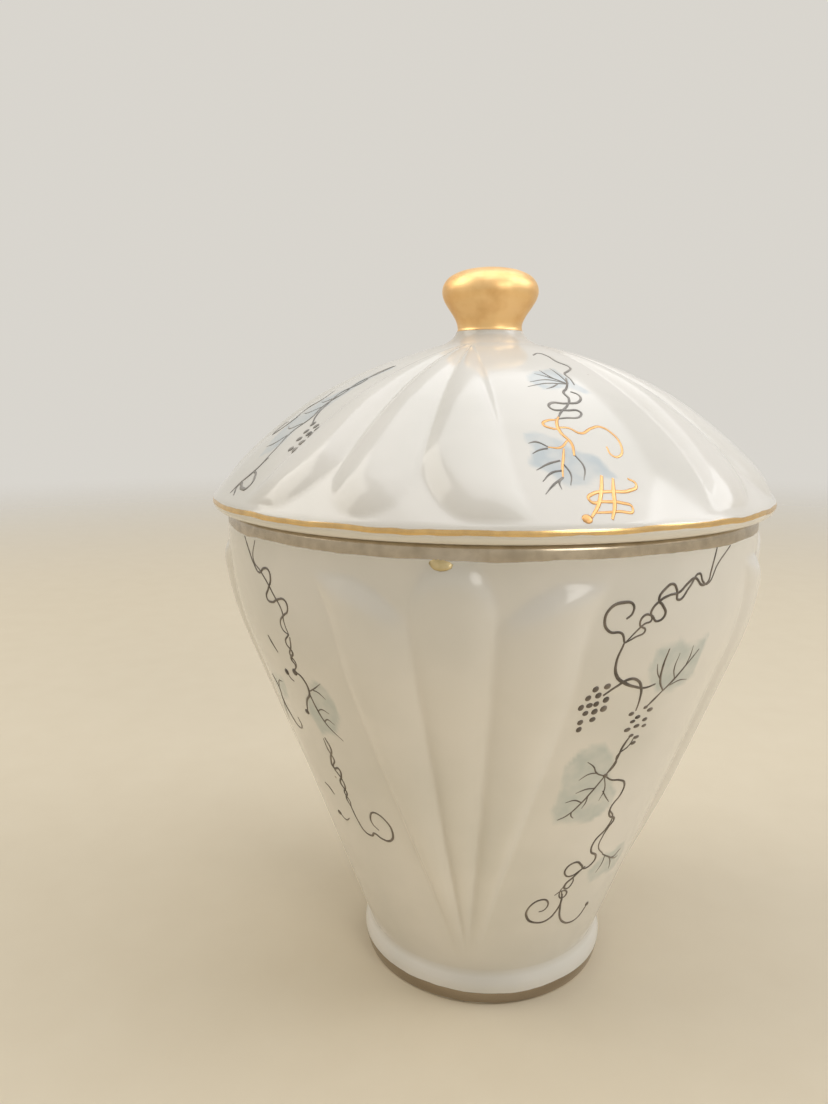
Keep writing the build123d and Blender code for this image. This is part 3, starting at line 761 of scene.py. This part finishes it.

# %% [markdown]
# ## Glazed porcelain
#
# Clear glaze over a white body: a warm white with a hard, even gloss (refractive index 1.5). Thick
# glaze is a little greyer, and here it greys in broad random patches; here and there an iron speck
# shows through. The gilt bands are brushed over the glaze, so they are part of this surface and not
# pieces on it: a height mask with an edge that wavers as a brush does, inside which the colour, the
# metal and the gloss change together.

# %% The glaze and its gilt bands
GLAZE, GLAZE_THICK, SPECK, BISCUIT = "EFEBE3", "E2DFD6", "8A6A48", "DCCFBC"
SHADED_FOOT_GOLD = "A99D8D"    # painted shade: the foot's gilt band darkened for the dark it reflects


def glazed_porcelain(name, bands, least_radius, wash, gold, worn_gold):
    """Glaze with gilt bands, each (from, to) in mm of height, outside a radius."""
    new, tree, surface, spot = material(name)
    axes = tree.nodes.new("ShaderNodeSeparateXYZ")
    tree.links.new(spot, axes.inputs[0])
    height = axes.outputs["Z"]
    flat = add(tree, "VectorMath", {0: spot, 1: (1, 1, 0)}, operation="MULTIPLY")
    across = tree.nodes.new("ShaderNodeVectorMath")
    across.operation = "LENGTH"
    tree.links.new(flat, across.inputs[0])
    radius = across.outputs["Value"]
    # one patch of glaze is about 25 mm, a ripple of its surface about 6 mm
    patch = add(tree, "TexNoise", {"Vector": spot, "Scale": 1000 / 25, "Detail": 3.0})
    ripple = add(tree, "TexNoise", {"Vector": spot, "Scale": 1000 / 6, "Detail": 2.0})
    colour = mixed(tree, add(tree, "MapRange", {"Value": patch, "From Min": 0.4, "From Max": 0.7}),
                   linear(GLAZE), linear(GLAZE_THICK))
    # the wash follows an attribute, broken up by 3 mm pools of water
    pools = add(tree, "TexNoise", {"Vector": spot, "Scale": 1000 / 3.5, "Detail": 2.0})
    layer = tree.nodes.new("ShaderNodeAttribute")
    layer.attribute_name = "wash"
    thin = add(tree, "MapRange", {"Value": pools, "From Min": 0.3, "From Max": 0.65,
                                  "To Min": 0.45, "To Max": 0.95})
    thin = add(tree, "Math", {0: thin, 1: layer.outputs["Fac"]}, operation="MULTIPLY")
    colour = mixed(tree, thin, colour, linear(wash))
    # iron specks, about 0.4 mm, one or two in a square of 20 mm
    cells = tree.nodes.new("ShaderNodeTexVoronoi")
    tree.links.new(spot, cells.inputs["Vector"])
    cells.inputs["Scale"].default_value = 1000 / 14
    fleck = add(tree, "MapRange", {"Value": cells.outputs["Distance"], "From Min": 0.010,
                                   "From Max": 0.026, "To Min": 0.75, "To Max": 0.0})
    colour = mixed(tree, fleck, colour, linear(SPECK))
    # the brush wavers by about 0.15 mm over 9 mm of the band's edge
    waver = add(tree, "TexNoise", {"Vector": spot, "Scale": 1000 / 9, "Detail": 3.0})
    waver = add(tree, "Math", {0: waver, 1: 0.5}, operation="SUBTRACT")
    line = add(tree, "Math", {0: waver, 1: 0.0009, 2: height}, operation="MULTIPLY_ADD")
    gilt = None
    for low, high in bands:
        rise = add(tree, "MapRange", {"Value": line, "From Min": (low - 0.06) * MM,
                                      "From Max": (low + 0.06) * MM})
        fall = add(tree, "MapRange", {"Value": line, "From Min": (high + 0.06) * MM,
                                      "From Max": (high - 0.06) * MM})
        band = add(tree, "Math", {0: rise, 1: fall}, operation="MULTIPLY")
        gilt = band if gilt is None else add(tree, "Math", {0: gilt, 1: band}, operation="MAXIMUM")
    outer = add(tree, "MapRange", {"Value": radius, "From Min": (least_radius - 0.1) * MM,
                                   "From Max": (least_radius + 0.1) * MM})
    gilt = add(tree, "Math", {0: gilt, 1: outer}, operation="MULTIPLY")
    rubbed = add(tree, "TexNoise", {"Vector": spot, "Scale": 1000 / 2.2, "Detail": 4.0})
    rubbed = add(tree, "MapRange", {"Value": rubbed, "From Min": 0.35, "From Max": 0.7})
    metal = mixed(tree, rubbed, linear(gold), linear(worn_gold))
    # painted shade: below 4 mm the gilt turns a dark grey-brown, for the dark the foot's band
    # reflects
    low = add(tree, "MapRange", {"Value": height, "From Min": 6 * MM, "From Max": 4 * MM})
    metal = mixed(tree, low, metal, linear(SHADED_FOOT_GOLD))
    colour = mixed(tree, gilt, colour, metal)
    # the foot ring stands on bare, unglazed body
    bare = add(tree, "MapRange", {"Value": height, "From Min": 0.35 * MM, "From Max": 0.1 * MM})
    colour = mixed(tree, bare, colour, linear(BISCUIT))
    glossy = add(tree, "MapRange", {"Value": ripple, "From Min": 0.3, "From Max": 0.7,
                                    "To Min": 0.10, "To Max": 0.17})
    glossy = add(tree, "MapRange", {"Value": gilt, "To Min": glossy, "To Max": 0.24})
    glossy = add(tree, "MapRange", {"Value": bare, "To Min": glossy, "To Max": 0.8})
    tree.links.new(colour, surface.inputs["Base Color"])
    tree.links.new(gilt, surface.inputs["Metallic"])
    tree.links.new(glossy, surface.inputs["Roughness"])
    tree.links.new(add(tree, "Bump", {"Height": ripple, "Strength": 0.25, "Distance": 0.00012}),
                   surface.inputs["Normal"])
    surface.inputs["IOR"].default_value = 1.5
    print(name, len(tree.nodes), "nodes")
    return new


# painted shade: the bowl's gilt is a greyer, duller gold than the lid's line, for its bands in
# shade
bowl.data.materials.append(glazed_porcelain(
    "glazed_porcelain_bowl", [(0.3, 2.7), (85.8, 88.3)], 22.0, "CAD0CA", "BDAF99", "A89B86"))
lid.data.materials.append(glazed_porcelain(
    "glazed_porcelain_lid", [(89.55, 90.35)], 49.0, "C4CDD0", "E4C084", "CFAE7A"))

# %% [markdown]
# ## Enamel line
#
# The vine's line is an overglaze enamel, a coloured glass ground fine and fired at low heat. The
# brush leaves it thick in one place and thin in the next, so its tone drifts along the stroke.

# %% Grey-brown enamel
def enamel(name, thick, thin):
    """Enamel line whose tone goes between these two within a few millimetres."""
    new, tree, surface, spot = material(name)
    load = add(tree, "TexNoise", {"Vector": spot, "Scale": 1000 / 2.5, "Detail": 2.0})
    load = add(tree, "MapRange", {"Value": load, "From Min": 0.3, "From Max": 0.7})
    tree.links.new(mixed(tree, load, linear(thick), linear(thin)), surface.inputs["Base Color"])
    surface.inputs["Roughness"].default_value = 0.28
    print(name, len(tree.nodes), "nodes")
    return new


bowl_vine.data.materials.append(enamel("overglaze_enamel_bowl", "4E463E", "857A6D"))
lid_vine.data.materials.append(enamel("overglaze_enamel_lid", "6C6863", "A39D95"))

# %% [markdown]
# ## Gilding
#
# The knob and the gold strokes carry liquid gold brushed over the glaze: a very thin metal that
# copies the gloss beneath it. The brush goes round the knob, which leaves faint level streaks, and
# the gold is worn to a duller brown in random patches.

# %% Brushed liquid gold
def gilding(name, bright, worn, streak):
    """Gold with level brush streaks, `streak` mm apart, and worn patches."""
    new, tree, surface, spot = material(name)
    stretched = add(tree, "Mapping", {"Vector": spot, "Scale": (0.12, 0.12, 1.0)})
    streaks = add(tree, "TexNoise", {"Vector": stretched, "Scale": 1000 / streak, "Detail": 3.0})
    patches = add(tree, "TexNoise", {"Vector": spot, "Scale": 1000 / 5, "Detail": 4.0})
    wear = add(tree, "MapRange", {"Value": patches, "From Min": 0.45, "From Max": 0.75})
    tree.links.new(mixed(tree, wear, linear(bright), linear(worn)), surface.inputs["Base Color"])
    surface.inputs["Metallic"].default_value = 1.0
    tree.links.new(add(tree, "MapRange", {"Value": streaks, "From Min": 0.3, "From Max": 0.7,
                                          "To Min": 0.36, "To Max": 0.48}),
                   surface.inputs["Roughness"])
    tree.links.new(add(tree, "Bump", {"Height": streaks, "Strength": 0.35, "Distance": 0.00008}),
                   surface.inputs["Normal"])
    print(name, len(tree.nodes), "nodes")
    return new


knob.data.materials.append(gilding("brushed_gold_knob", "F3CB90", "DFB074", 0.9))
line_gold = gilding("brushed_gold_line", "DDB07A", "C39560", 0.5)
lid_gold.data.materials.append(line_gold)
run_of_gold.data.materials.append(gilding("brushed_gold_run", "D2C096", "A08E62", 0.5))

# %% [markdown]
# ## Floor, light and camera
#
# Pale matt paper that fades into the room, one large soft light overhead, smaller ones on each
# side and low at the front right, and a camera a little above the rim, as someone at the table
# would see the bowl. Four weak cards of light on the paper stand in for a bright table: the wall
# leans out over it, so most of the light on the wall comes from there.

# %% The floor
bm = bmesh.new()
bmesh.ops.create_grid(bm, x_segments=1, y_segments=1, size=1.2)
mesh = bpy.data.meshes.new("floor")
bm.to_mesh(mesh)
bm.free()
floor = bpy.data.objects.new("floor", mesh)
bpy.context.scene.collection.objects.link(floor)
ground, tree, surface, spot = material("matt_paper")
grain = add(tree, "TexNoise", {"Vector": spot, "Scale": 1000 / 12, "Detail": 4.0})
tree.links.new(mixed(tree, grain, linear("DDD0B7"), linear("E2D6BE")), surface.inputs["Base Color"])
surface.inputs["Roughness"].default_value = 0.8
# the paper fades into the room all round, so no view has a hard horizon
away = tree.nodes.new("ShaderNodeVectorMath")
away.operation = "LENGTH"
tree.links.new(spot, away.inputs[0])
fade = add(tree, "MapRange", {"Value": away.outputs["Value"], "From Min": 0.28, "From Max": 1.1,
                              "To Min": 1.0, "To Max": 0.0}, interpolation_type="SMOOTHSTEP")
tree.links.new(fade, surface.inputs["Alpha"])
floor.data.materials.append(ground)

# %% Light and camera
def softbox(name, place, size, power, colour, look_at=(0, 0, 0.06)):
    """A square area light that faces a spot."""
    lamp = bpy.data.lights.new(name, "AREA")
    lamp.size, lamp.energy, lamp.color = size, power, linear(colour)[:3]
    holder = bpy.data.objects.new(name, lamp)
    holder.location = place
    holder.rotation_euler = (Vector(look_at) - Vector(place)).to_track_quat("-Z", "Y").to_euler()
    holder.visible_camera = False
    bpy.context.scene.collection.objects.link(holder)
    return holder


softbox("key", (0.15, 0.1, 1.3), 1.6, 12.0, "FBFCFF")
softbox("right", (0.9, 0.1, 0.7), 0.6, 3.4, "FBFCFF")
softbox("left", (-0.9, -0.1, 0.8), 0.8, 5.0, "FFFAF0")
softbox("side", (0.6, -0.65, 0.42), 0.35, 1.5, "FFFDF8")
for n, power in enumerate((0.0045, 0.0045, 0.0055, 0.0045)):
    low = Vector((math.sin(n * math.pi / 2), -math.cos(n * math.pi / 2), 0)) * 0.085
    card = softbox(f"low_{n}", (low.x, low.y, 0.003), 0.06, power, "FFEBCB",
                   look_at=(low.x, low.y, 1))
    card.visible_glossy = False
world = bpy.data.worlds.new("room")
world.use_nodes = True
tree = world.node_tree
tree.nodes["Background"].inputs["Color"].default_value = linear("F2EEE6")
dull = tree.nodes.new("ShaderNodeLightPath").outputs["Is Diffuse Ray"]
tree.links.new(add(tree, "MapRange", {"Value": dull, "To Min": 0.78, "To Max": 0.12}),
               tree.nodes["Background"].inputs["Strength"])
bpy.context.scene.world = world

lens = bpy.data.cameras.new("camera")
lens.lens, lens.sensor_width, lens.sensor_fit = 27.72, 36, "AUTO"
lens.clip_start = 0.01
camera = bpy.data.objects.new("camera", lens)
camera.location = (0.01515, -0.1585, 0.1073)
camera.rotation_euler = (math.radians(79.69), 0, math.radians(10.4))
bpy.context.scene.collection.objects.link(camera)
bpy.context.scene.camera = camera
bpy.context.scene.view_settings.view_transform = "Standard"

# %% Updating the scene
bpy.context.view_layer.update()
